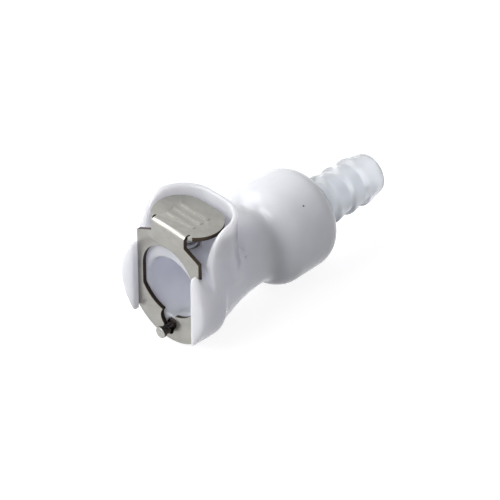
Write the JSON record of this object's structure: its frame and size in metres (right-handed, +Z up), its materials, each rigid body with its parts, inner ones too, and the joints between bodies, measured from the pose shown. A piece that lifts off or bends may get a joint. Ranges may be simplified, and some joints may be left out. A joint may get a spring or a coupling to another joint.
{
  "type": "quick disconnect coupling body with hose barb",
  "caption": "Plastic quick disconnect coupling body with a steel thumb latch, a shut-off valve and a hose barb.",
  "frame": {"origin": "centre of the socket mouth on the flow axis", "axes": "+Y along the flow axis from the socket mouth to the hose barb, +Z up through the thumb latch, +X to the right seen from the socket"},
  "size_m": [0.0242, 0.0614, 0.0294],
  "materials": {
    "body_plastic": "glossy moulded white acetal",
    "barb_plastic": "glossy moulded bluish white acetal",
    "latch_steel": "satin stamped stainless steel with dark sheared edges",
    "pin_steel": "turned stainless steel",
    "spring_steel": "drawn stainless spring wire",
    "valve_plastic": "moulded white acetal",
    "seal_rubber": "black nitrile rubber"
  },
  "bodies": {
    "coupling_body": {"body": "body_plastic", "hose_barb": "barb_plastic", "barb_seal": "seal_rubber", "latch_spring": "spring_steel", "pin_spring": "spring_steel", "valve_spring": "spring_steel"},
    "latch": {"thumb_latch": "latch_steel"},
    "pin": {"release_pin": "pin_steel"},
    "valve": {"valve_poppet": "valve_plastic", "valve_seal": "seal_rubber"}
  },
  "joints": [
    {"name": "latch_slide", "type": "slide", "parent": "coupling_body", "child": "latch", "axis": [0, 0, -1], "range_m": [0, 0.0024], "stiffness_N_per_m": 1500, "springref_m": -0.002, "deforming": ["latch_spring"]},
    {"name": "pin_slide", "type": "slide", "parent": "coupling_body", "child": "pin", "axis": [0, 1, 0], "range_m": [0, 0.0019], "stiffness_N_per_m": 400, "springref_m": -0.002, "deforming": ["pin_spring"]},
    {"name": "valve_slide", "type": "slide", "parent": "coupling_body", "child": "valve", "axis": [0, 1, 0], "range_m": [0, 0.003], "stiffness_N_per_m": 800, "springref_m": -0.004, "deforming": ["valve_spring"]}
  ]
}
